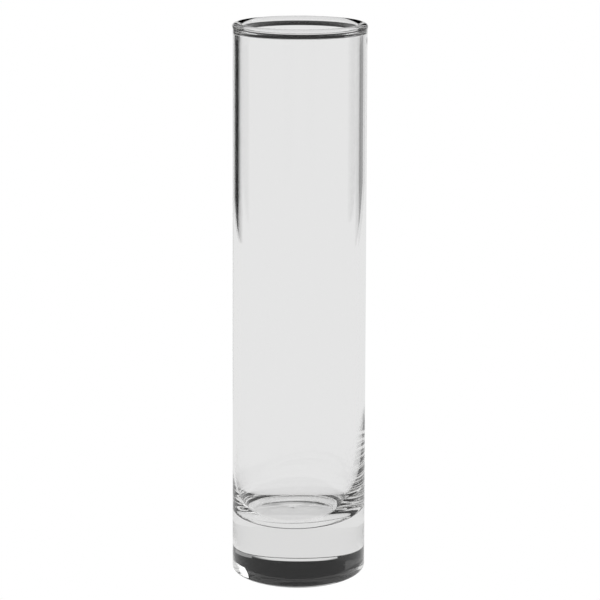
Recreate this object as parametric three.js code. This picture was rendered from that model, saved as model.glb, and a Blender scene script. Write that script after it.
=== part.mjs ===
// A tall glass cylinder bud vase: one piece of clear soda-lime glass, in millimetres, +Z up.
// The origin is the centre of the foot, on the plane that the vase stands on.
import * as THREE from "three";

// Driving dimensions. The outside.
const HEIGHT = 190;
const FOOT_DIAMETER = 46.1; // the body tapers a little, from this
const TOP_DIAMETER = 44.4; // to this
const HEEL_RADIUS = 0.8; // rounding between the wall and the foot
const RING_WIDTH = 1; // of the flat ring that the vase stands on
const DISH_DEPTH = 0.85; // of the shallow hollow under the foot
const DISH_FLAT_RADIUS = 11.5; // of the hollow's flat middle
const DISH_TURN = 2; // distance over which the flat middle turns into the sloping side

// The rim: a fire-polished bead.
const RIM_DIAMETER = 44.9;
const BEAD_WIDTH = 3.3; // of the bead's section
const BEAD_TOP = 1.1; // half height of the ellipse that its top follows
const BEAD_BOTTOM = 1.6; // half height of the ellipse that its underside follows
const BEAD_SLOPE_OUT = 12; // degrees from upright at which the bead runs out into the wall, outside
const BEAD_SLOPE_IN = 30; // and inside

// The inside.
const WALL_THICKNESS = 2.1;
const FLOOR_HEIGHT = 18.8; // of the floor's edge above the foot: the glass of the heavy base
const FLOOR_RISE = 0.4; // of the floor's middle above its edge
const FLOOR_RADIUS = 10; // where the floor starts to turn up into the wall
const CORNER_WIDTH = 6.5; // half width of the ellipse that the turn follows
const CORNER_HEIGHT = 2; // half height of that ellipse
const CORNER_END = -30; // degrees round the ellipse at which the turn ends
const CORNER_REACH = 6; // how far the wall carries on in the direction of the turn's end
const TAPER_TOP = 42; // height at which the wall has thinned down from the heavy base
const TAPER_REACH = 8; // how far the thinning wall keeps upright below that

// Smoothness of the turned surface.
const TURN_STEPS = 72;
const ARC_STEPS = 6;
const BEAD_STEPS = 14;
const BEAD_END_STEPS = 2;
const CURVE_STEPS = 8;

const point = (x, z) => new THREE.Vector2(x, z);

// Radius of the tapering outside at a height.
function bodyRadius(z) {
  return THREE.MathUtils.lerp(FOOT_DIAMETER, TOP_DIAMETER, z / HEIGHT) / 2;
}

// Points of an elliptic arc, from one angle to another in degrees, 0 pointing outwards and 90 up.
function arc(centre, width, height, from, to, steps) {
  return Array.from({ length: steps + 1 }, (_, i) => {
    const angle = THREE.MathUtils.degToRad(from + ((to - from) * i) / steps);
    return point(centre.x + width * Math.cos(angle), centre.y + height * Math.sin(angle));
  });
}

// Where a straight line that leaves a point of the bead downwards, at a slope, meets a wall of a radius.
function meetsWall(start, slope, radius) {
  const drop = Math.abs(start.x - radius) / Math.tan(THREE.MathUtils.degToRad(slope));
  return point(radius, start.y - drop);
}

// The foot, from the axis outwards: a shallow hollow, the flat standing ring and the rounded heel.
function footProfile() {
  const ringOuter = FOOT_DIAMETER / 2 - HEEL_RADIUS;
  const turn = point(DISH_FLAT_RADIUS + DISH_TURN, DISH_DEPTH);
  const side = new THREE.CubicBezierCurve(
    point(DISH_FLAT_RADIUS, DISH_DEPTH),
    turn,
    turn,
    point(ringOuter - RING_WIDTH, 0),
  );
  const heel = arc(point(ringOuter, HEEL_RADIUS), HEEL_RADIUS, HEEL_RADIUS, -90, 0, ARC_STEPS);
  return [point(0, DISH_DEPTH), ...side.getPoints(CURVE_STEPS), ...heel];
}

// The rim: a round bead that runs out straight into the wall on both sides.
function rimProfile() {
  const width = BEAD_WIDTH / 2;
  const centre = point(RIM_DIAMETER / 2 - width, HEIGHT - BEAD_TOP);
  const bead = [
    ...arc(centre, width, BEAD_BOTTOM, -BEAD_SLOPE_OUT, 0, BEAD_END_STEPS),
    ...arc(centre, width, BEAD_TOP, 0, 180, BEAD_STEPS).slice(1, -1),
    ...arc(centre, width, BEAD_BOTTOM, 180, 180 + BEAD_SLOPE_IN, BEAD_END_STEPS),
  ];
  const outside = bodyRadius(HEIGHT);
  return [
    meetsWall(bead[0], BEAD_SLOPE_OUT, outside),
    ...bead,
    meetsWall(bead.at(-1), BEAD_SLOPE_IN, outside - WALL_THICKNESS),
  ];
}

// The inside, from the bore down to the axis: the wall thickens into the heavy base.
function wellProfile() {
  const middle = point(FLOOR_RADIUS, FLOOR_HEIGHT + CORNER_HEIGHT);
  const corner = arc(middle, CORNER_WIDTH, CORNER_HEIGHT, CORNER_END, -90, ARC_STEPS);
  const end = THREE.MathUtils.degToRad(CORNER_END);
  const lean = point(-CORNER_WIDTH * Math.sin(end), CORNER_HEIGHT * Math.cos(end)).setLength(CORNER_REACH);
  const bore = bodyRadius(TAPER_TOP) - WALL_THICKNESS;
  const taper = new THREE.CubicBezierCurve(
    point(bore, TAPER_TOP),
    point(bore, TAPER_TOP - TAPER_REACH),
    lean.add(corner[0]),
    corner[0],
  );
  return [
    ...taper.getPoints(CURVE_STEPS),
    ...corner.slice(1),
    point(0, FLOOR_HEIGHT + FLOOR_RISE),
  ];
}

// Turns the closed half section about the axis, which three.js holds along Y and the part along Z.
function turned(profile) {
  return new THREE.LatheGeometry(profile, TURN_STEPS).rotateX(Math.PI / 2);
}

const clearGlass = new THREE.MeshStandardMaterial({
  name: "clear_glass",
  color: 0xe9eeec,
  roughness: 0.02,
  metalness: 0,
  transparent: true,
  opacity: 0.25,
});

const vase = new THREE.Mesh(turned([...footProfile(), ...rimProfile(), ...wellProfile()]), clearGlass);
vase.name = "glass_vase";

const cylinderVase = new THREE.Group();
cylinderVase.add(vase);

export default cylinderVase;
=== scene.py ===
# Looks of the glass cylinder vase: one clear glass body on a pale floor under soft studio light.
import math

import bpy
from mathutils import Euler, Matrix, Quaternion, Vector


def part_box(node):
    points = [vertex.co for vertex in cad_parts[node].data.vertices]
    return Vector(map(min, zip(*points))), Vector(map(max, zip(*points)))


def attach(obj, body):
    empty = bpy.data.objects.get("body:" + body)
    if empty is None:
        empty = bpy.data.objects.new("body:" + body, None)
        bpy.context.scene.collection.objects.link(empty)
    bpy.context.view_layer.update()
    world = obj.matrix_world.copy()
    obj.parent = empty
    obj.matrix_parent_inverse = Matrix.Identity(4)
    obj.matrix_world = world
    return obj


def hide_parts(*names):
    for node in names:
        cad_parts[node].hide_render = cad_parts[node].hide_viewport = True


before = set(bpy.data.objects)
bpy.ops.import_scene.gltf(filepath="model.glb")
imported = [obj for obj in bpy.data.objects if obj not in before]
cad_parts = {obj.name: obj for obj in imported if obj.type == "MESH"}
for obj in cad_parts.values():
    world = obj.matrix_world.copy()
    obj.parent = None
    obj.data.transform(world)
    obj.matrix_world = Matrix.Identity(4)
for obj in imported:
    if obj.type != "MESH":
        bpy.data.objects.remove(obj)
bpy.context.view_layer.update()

MM = 0.001
NODE = "glass_vase"

# Driving dimensions, in millimetres. The height comes from the CAD node.
low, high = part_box(NODE)
HEIGHT = (high.z - low.z) / MM
FOOT_RADIUS = 23.07
TOP_RADIUS = 22.22
WALL = 2.1

# The heel between the wall and the foot, rounder towards one side, and the zone that evens it out above.
HEEL_RADIUS = 0.8
HEEL_CHANGE = 0.9
HEEL_LEAST = 0.15
HEEL_TOWARDS = -60.0
HEEL_ZONE = 8.0

# The hollow under the foot.
DISH_EDGE = 22.1
DISH_RADIUS = 13.5
DISH_HEIGHT = 0.85
DISH_CURVE = 2.0

# The rim: a bead of two half ellipses, and two straight flanks that run out into the wall.
RIM_RADIUS = 22.44
RIM_BEAD = 3.3
RIM_UPPER = 1.1
RIM_LOWER = 1.6
RIM_OUT_SLOPE = 12.0     # degrees off upright
RIM_IN_SLOPE = 30.0
RIM_EASE = 0.5           # length of wall over which a flank is eased in
RIM_STRAIGHT = 0.7       # share of a flank that stays straight
RIM_CHECK = 2.0          # how far below the bead the wall's place is read

# The inner floor, its turn up into the wall, and the wall's taper above it.
FLOOR_HEIGHT = 18.8
FLOOR_RADIUS = 10.0
FLOOR_RISE = 0.4
CORNER = 6.5
CORNER_HEIGHT = 2.0
CORNER_TURN = 30.0
TAPER_TOP = 42.0
TAPER_PULL = 8.0
TAPER_REACH = 6.0

# How far the inside is off level, as slopes, and off the axis, high up and low down.
TILT_BACK = -0.02
TILT_SIDE = 0.01
TILT_TOP = 45.0          # the inside is level above this height
BORE_SHIFT_TOP = -0.2
BORE_SHIFT_LOW = -1.4
BORE_SHIFT_FROM = 60.0   # the shift starts to grow below this height
BORE_SHIFT_OVER = 40.0   # and is whole this much lower
BORE_TRUE_OVER = 8.0     # the bore comes back onto the axis over this height below the rim

# Smoothness of the turned surface.
TURN_STEPS = 288
LONG_STEPS = 60
CURVE_STEPS = 30
BEAD_UPPER_STEPS = 16
BEAD_LOWER_STEPS = 8
FLANK_STEPS = 5
EASE_STEPS = 6
FLOOR_STEPS = 16
DISH_STEPS = 10
HEEL_STEPS = 12
RING_STEPS = 2
AXIS_RADIUS = 1e-6       # a ring smaller than this is a single point

# The glass: its refraction, and the colour and density per metre of its slight absorption.
GLASS_IOR = 1.52
GLASS_TINT = (0.5, 0.49, 0.46, 1)
GLASS_DENSITY = 3.2

# Studio, in metres and degrees: a pale floor and backdrop, a dark room above them, two flat flags that
# stand on the floor and two soft lights. Azimuth 0 is straight behind the vase and 90 is to its right.
FLOOR_LEVEL = 0.79       # brightness of the floor and backdrop for the glass
CAMERA_LEVEL = 1.0       # and for the camera
ROOM_LEVEL = 0.003
BACKDROP_LOW = 6.0       # elevations between which the backdrop gives way to the room
BACKDROP_HIGH = 8.0
FLOOR_SIZE = 8.0
FLOOR_GAP = 0.0001       # keeps the floor clear of the foot
FLAG_LEFT = ((-24, 0.69), (-60, 0.56))       # azimuth and distance of either edge
FLAG_LEFT_HEIGHT = 0.19
FLAG_LEFT_LEVEL = 0.02
FLAG_RIGHT = ((31, 0.75), (60, 0.55))
FLAG_RIGHT_HEIGHT = 0.12
FLAG_RIGHT_LEVEL = 0.28
LIGHT_AWAY = 8.8
KEY_AZIMUTHS = (47, 80)
KEY_ELEVATIONS = (26, 50)
KEY_LEVEL = 1.4
FILL_AZIMUTHS = (-36, -50, -65, -80)
FILL_ELEVATIONS = (8, 24)
FILL_LEVEL = 0.06

# Camera, in degrees, metres and pixels.
PITCH = 13.868
YAW = -0.022
ROLL = 0.193
CAMERA_DISTANCE = 0.6879
CAMERA_HEIGHT = 0.2656
LENS_PX = 2081.5
FRAME_PX = 600
SENSOR_WIDTH = 36.0      # millimetres
CLIP = (0.01, 100)
GLASS_BOUNCES = 32       # enough for light caught in the base
MIRROR_BOUNCES = 16


def arc(cx, cz, rx, rz, start, end, steps):
    """Points of an elliptic arc in the half section, angles in degrees, 0 outwards and 90 up."""
    out = []
    for i in range(steps + 1):
        a = math.radians(start + (end - start) * i / steps)
        out.append((cx + rx * math.cos(a), cz + rz * math.sin(a)))
    return out


def bezier(p0, p1, p2, p3, steps):
    """Points of a cubic curve in the half section."""
    out = []
    for i in range(steps + 1):
        t = i / steps
        s = 1 - t
        weights = (s**3, 3 * s * s * t, 3 * s * t * t, t**3)
        out.append(tuple(sum(w * p[k] for w, p in zip(weights, (p0, p1, p2, p3))) for k in (0, 1)))
    return out


def straight(p0, p1, steps):
    """Points of a straight line in the half section."""
    return [tuple(a + (b - a) * i / steps for a, b in zip(p0, p1)) for i in range(steps + 1)]


def outer_radius(z):
    """The body tapers a little from the foot to the rim."""
    return FOOT_RADIUS + (TOP_RADIUS - FOOT_RADIUS) * z / HEIGHT


def join(*runs):
    """Runs of points end to end, each starting where the last one ended."""
    out = list(runs[0])
    for run in runs[1:]:
        out += run[1:]
    return out


def flank(start, slope, wall_at):
    """A straight side of the rim's bead, from its widest part down to the wall, eased in at the end."""
    x, z = start
    drop = abs(x - wall_at(z - RIM_CHECK)) / math.tan(math.radians(slope))
    knee = (wall_at(z - drop), z - drop)
    end = (wall_at(z - drop - RIM_EASE), z - drop - RIM_EASE)
    before = (x + (knee[0] - x) * RIM_STRAIGHT, z + (knee[1] - z) * RIM_STRAIGHT)
    return join(straight(start, before, FLANK_STEPS), bezier(before, knee, knee, end, EASE_STEPS))


def foot_run():
    """From the axis outwards: the hollow under the foot, the standing ring and the heel."""
    ring_out = FOOT_RADIUS - HEEL_RADIUS
    flat_end = (DISH_RADIUS - DISH_CURVE, DISH_HEIGHT)
    turn = (DISH_RADIUS, DISH_HEIGHT)
    return join(
        straight((0, DISH_HEIGHT), flat_end, DISH_STEPS),
        bezier(flat_end, turn, turn, (DISH_EDGE, 0), LONG_STEPS),
        straight((DISH_EDGE, 0), (ring_out, 0), RING_STEPS),
        arc(ring_out, HEEL_RADIUS, HEEL_RADIUS, HEEL_RADIUS, -90, 0, HEEL_STEPS),
    )


def well_run(top):
    """The inside from the rim's flank to the axis: the bore, the taper, the corner and the floor."""
    wall = straight(top, (outer_radius(TAPER_TOP) - WALL, TAPER_TOP), LONG_STEPS)
    corner_z = FLOOR_HEIGHT + CORNER_HEIGHT
    corner = arc(FLOOR_RADIUS, corner_z, CORNER, CORNER_HEIGHT, -CORNER_TURN, -90, CURVE_STEPS)
    lean = math.atan2(CORNER * math.tan(math.radians(CORNER_TURN)), CORNER_HEIGHT)
    reach = (corner[0][0] + TAPER_REACH * math.sin(lean), corner[0][1] + TAPER_REACH * math.cos(lean))
    taper = bezier(wall[-1], (wall[-1][0], TAPER_TOP - TAPER_PULL), reach, corner[0], CURVE_STEPS)
    shares = [i / FLOOR_STEPS for i in range(FLOOR_STEPS + 1)]
    floor = [(FLOOR_RADIUS * (1 - share), FLOOR_HEIGHT + FLOOR_RISE * share**2) for share in shares]
    return join(wall, taper, corner, floor)


def half_section():
    """The outside from under the foot to the top of the rim, and the inside from there down to the floor."""
    bead = RIM_BEAD / 2
    x, z = RIM_RADIUS - bead, HEIGHT - RIM_UPPER
    top_out = join(arc(x, z, bead, RIM_LOWER, -RIM_OUT_SLOPE, 0, BEAD_LOWER_STEPS),
                   arc(x, z, bead, RIM_UPPER, 0, 90, BEAD_UPPER_STEPS))
    top_in = join(arc(x, z, bead, RIM_UPPER, 90, 180, BEAD_UPPER_STEPS),
                  arc(x, z, bead, RIM_LOWER, 180, 180 + RIM_IN_SLOPE, BEAD_LOWER_STEPS))
    out_flank = flank(top_out[0], RIM_OUT_SLOPE, outer_radius)
    in_flank = flank(top_in[-1], RIM_IN_SLOPE, lambda height: outer_radius(height) - WALL)
    body = straight((outer_radius(HEEL_RADIUS), HEEL_RADIUS), out_flank[-1], LONG_STEPS)
    outer = join(foot_run(), body, out_flank[::-1], top_out)
    return outer, join(top_in, in_flank, well_run(in_flank[-1]))


def smooth(t):
    """Runs from 0 to 1 as t does, flat at both ends."""
    t = min(max(t, 0.0), 1.0)
    return t * t * (3 - 2 * t)


def bore_shift(z):
    """How far the bore's centre stands off the vase's axis at a height."""
    share = smooth((BORE_SHIFT_FROM - z) / BORE_SHIFT_OVER)
    fade = smooth((HEIGHT - z) / BORE_TRUE_OVER)
    return (BORE_SHIFT_TOP + (BORE_SHIFT_LOW - BORE_SHIFT_TOP) * share) * fade


def outside_point(r, z, angle):
    """A point of the outside, where the heel is rounder on one side than on the other."""
    heel = max(HEEL_LEAST, HEEL_RADIUS + HEEL_CHANGE * math.cos(angle - math.radians(HEEL_TOWARDS)))
    ring = FOOT_RADIUS - HEEL_RADIUS
    if z < HEEL_RADIUS + DISH_HEIGHT and r <= ring:
        r = r * (FOOT_RADIUS - heel) / ring
    elif z <= HEEL_RADIUS:
        r = FOOT_RADIUS - (FOOT_RADIUS - r) * heel / HEEL_RADIUS
        z = z * heel / HEEL_RADIUS
    elif z < HEEL_ZONE:
        z = heel + (z - HEEL_RADIUS) * (HEEL_ZONE - heel) / (HEEL_ZONE - HEEL_RADIUS)
    return r * math.cos(angle), r * math.sin(angle), z


def inside_point(r, z, angle):
    """A point of the inside, which stands a little off the axis and whose floor is not quite level."""
    x = r * math.cos(angle) + bore_shift(z)
    y = r * math.sin(angle)
    level = smooth((TILT_TOP - z) / (TILT_TOP - FLOOR_HEIGHT))
    return x, y, z + level * (TILT_BACK * y + TILT_SIDE * x)


def vase_mesh():
    """Turns the half section about the axis, each ring of points placed by its own side's rule."""
    outer, inner = half_section()
    points = [(r, z, outside_point) for r, z in outer] + [(r, z, inside_point) for r, z in inner[1:]]
    rings = []
    verts, faces = [], []
    for r, z, place in points:
        steps = 1 if r < AXIS_RADIUS else TURN_STEPS
        rings.append(range(len(verts), len(verts) + steps))
        for k in range(steps):
            x, y, h = place(r, z, 2 * math.pi * k / steps)
            verts.append((x * MM, y * MM, h * MM))
    for lower, upper in zip(rings, rings[1:]):
        for k in range(TURN_STEPS):
            n = (k + 1) % TURN_STEPS
            if len(lower) == 1:
                faces.append((lower[0], upper[n], upper[k]))
            elif len(upper) == 1:
                faces.append((lower[k], lower[n], upper[0]))
            else:
                faces.append((lower[k], lower[n], upper[n], upper[k]))
    mesh = bpy.data.meshes.new("vase_glass")
    mesh.from_pydata(verts, [], faces)
    mesh.update()
    mesh.shade_smooth()
    return mesh


def clear_glass():
    """Clear polished glass that takes a little light out of a long path."""
    mat = bpy.data.materials.new("clear_glass")
    mat.use_nodes = True
    tree = mat.node_tree
    shader = tree.nodes["Principled BSDF"]
    shader.inputs["Base Color"].default_value = (1, 1, 1, 1)
    shader.inputs["Roughness"].default_value = 0.0
    shader.inputs["IOR"].default_value = GLASS_IOR
    shader.inputs["Transmission Weight"].default_value = 1.0
    body = tree.nodes.new("ShaderNodeVolumeAbsorption")
    body.inputs["Color"].default_value = GLASS_TINT
    body.inputs["Density"].default_value = GLASS_DENSITY
    tree.links.new(body.outputs["Volume"], tree.nodes["Material Output"].inputs["Volume"])
    return mat


vase = bpy.data.objects.new("vase_glass", vase_mesh())
bpy.context.scene.collection.objects.link(vase)
vase.data.materials.append(clear_glass())
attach(vase, "root")
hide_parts(NODE)


def exposed(tree, level):
    """One brightness for the glass to gather, and a brighter white for what the camera sees directly."""
    path = tree.nodes.new("ShaderNodeLightPath")
    mix = tree.nodes.new("ShaderNodeMix")
    mix.data_type = "FLOAT"
    tree.links.new(path.outputs["Is Camera Ray"], mix.inputs[0])
    if isinstance(level, float):
        mix.inputs[2].default_value = level
    else:
        tree.links.new(level, mix.inputs[2])
    mix.inputs[3].default_value = CAMERA_LEVEL
    return mix.outputs[0]


def glowing(name):
    """An emission material, and the socket of its strength."""
    mat = bpy.data.materials.new(name)
    mat.use_nodes = True
    tree = mat.node_tree
    tree.nodes.clear()
    out = tree.nodes.new("ShaderNodeOutputMaterial")
    glow = tree.nodes.new("ShaderNodeEmission")
    tree.links.new(glow.outputs[0], out.inputs["Surface"])
    return mat, glow.inputs["Strength"]


def stage_mesh(name, corners, faces, material):
    """A mesh that belongs to the studio and not to the vase."""
    mesh = bpy.data.meshes.new(name)
    mesh.from_pydata(corners, [], faces)
    mesh.materials.append(material)
    obj = bpy.data.objects.new(name, mesh)
    bpy.context.scene.collection.objects.link(obj)
    return obj


def card(name, columns, level):
    """An upright card that the camera doesn't see, as columns of azimuth, distance, low and high height."""
    corners = []
    for azimuth, away, low, high in columns:
        a = math.radians(azimuth)
        corners += [(away * math.sin(a), away * math.cos(a), h) for h in (low, high)]
    faces = [(i, i + 2, i + 3, i + 1) for i in range(0, len(corners) - 2, 2)]
    mat, strength = glowing(name)
    strength.default_value = level
    obj = stage_mesh(name, corners, faces, mat)
    obj.visible_camera = False


def flag(name, edges, height, level):
    """A flat card that stands on the floor."""
    card(name, [(*edge, 0, height) for edge in edges], level)


def soft_light(name, azimuths, elevations, level):
    """A softbox far away, between two elevations."""
    heights = [LIGHT_AWAY * math.tan(math.radians(elevation)) for elevation in elevations]
    card(name, [(azimuth, LIGHT_AWAY, *heights) for azimuth in azimuths], level)


half = FLOOR_SIZE / 2
pale_floor, floor_strength = glowing("pale_floor")
pale_floor.node_tree.links.new(exposed(pale_floor.node_tree, FLOOR_LEVEL), floor_strength)
floor_corners = [(x, y, -FLOOR_GAP) for x, y in ((-half, -half), (half, -half), (half, half), (-half, half))]
stage_mesh("floor", floor_corners, [(0, 1, 2, 3)], pale_floor)
flag("flag_left", FLAG_LEFT, FLAG_LEFT_HEIGHT, FLAG_LEFT_LEVEL)
flag("flag_right", FLAG_RIGHT, FLAG_RIGHT_HEIGHT, FLAG_RIGHT_LEVEL)
soft_light("key_right", KEY_AZIMUTHS, KEY_ELEVATIONS, KEY_LEVEL)
soft_light("fill_left", FILL_AZIMUTHS, FILL_ELEVATIONS, FILL_LEVEL)

world = bpy.data.worlds.new("studio")
bpy.context.scene.world = world
world.use_nodes = True
tree = world.node_tree
tree.nodes.clear()
out = tree.nodes.new("ShaderNodeOutputWorld")
back = tree.nodes.new("ShaderNodeBackground")
coord = tree.nodes.new("ShaderNodeTexCoord")
split = tree.nodes.new("ShaderNodeSeparateXYZ")
ramp = tree.nodes.new("ShaderNodeMapRange")
ramp.interpolation_type = "SMOOTHSTEP"
ramp.inputs["From Min"].default_value = math.sin(math.radians(BACKDROP_LOW))
ramp.inputs["From Max"].default_value = math.sin(math.radians(BACKDROP_HIGH))
ramp.inputs["To Min"].default_value = FLOOR_LEVEL
ramp.inputs["To Max"].default_value = ROOM_LEVEL
back.inputs["Color"].default_value = (1, 1, 1, 1)
tree.links.new(coord.outputs["Generated"], split.inputs[0])
tree.links.new(split.outputs["Z"], ramp.inputs["Value"])
tree.links.new(exposed(tree, ramp.outputs["Result"]), back.inputs["Strength"])
tree.links.new(back.outputs[0], out.inputs["Surface"])

cam_data = bpy.data.cameras.new("camera")
cam_data.sensor_width = SENSOR_WIDTH
cam_data.lens = LENS_PX / FRAME_PX * cam_data.sensor_width
cam_data.clip_start, cam_data.clip_end = CLIP
camera = bpy.data.objects.new("camera", cam_data)
camera.location = (0, -CAMERA_DISTANCE, CAMERA_HEIGHT)
aim = Euler((math.radians(90 - PITCH), 0, math.radians(YAW))).to_quaternion()
camera.rotation_mode = "QUATERNION"
camera.rotation_quaternion = aim @ Quaternion((0, 0, 1), math.radians(ROLL))
bpy.context.scene.collection.objects.link(camera)
bpy.context.scene.camera = camera

scene = bpy.context.scene
scene.view_settings.view_transform = "Standard"
scene.view_settings.look = "None"
scene.cycles.max_bounces = GLASS_BOUNCES
scene.cycles.transmission_bounces = GLASS_BOUNCES
scene.cycles.glossy_bounces = MIRROR_BOUNCES
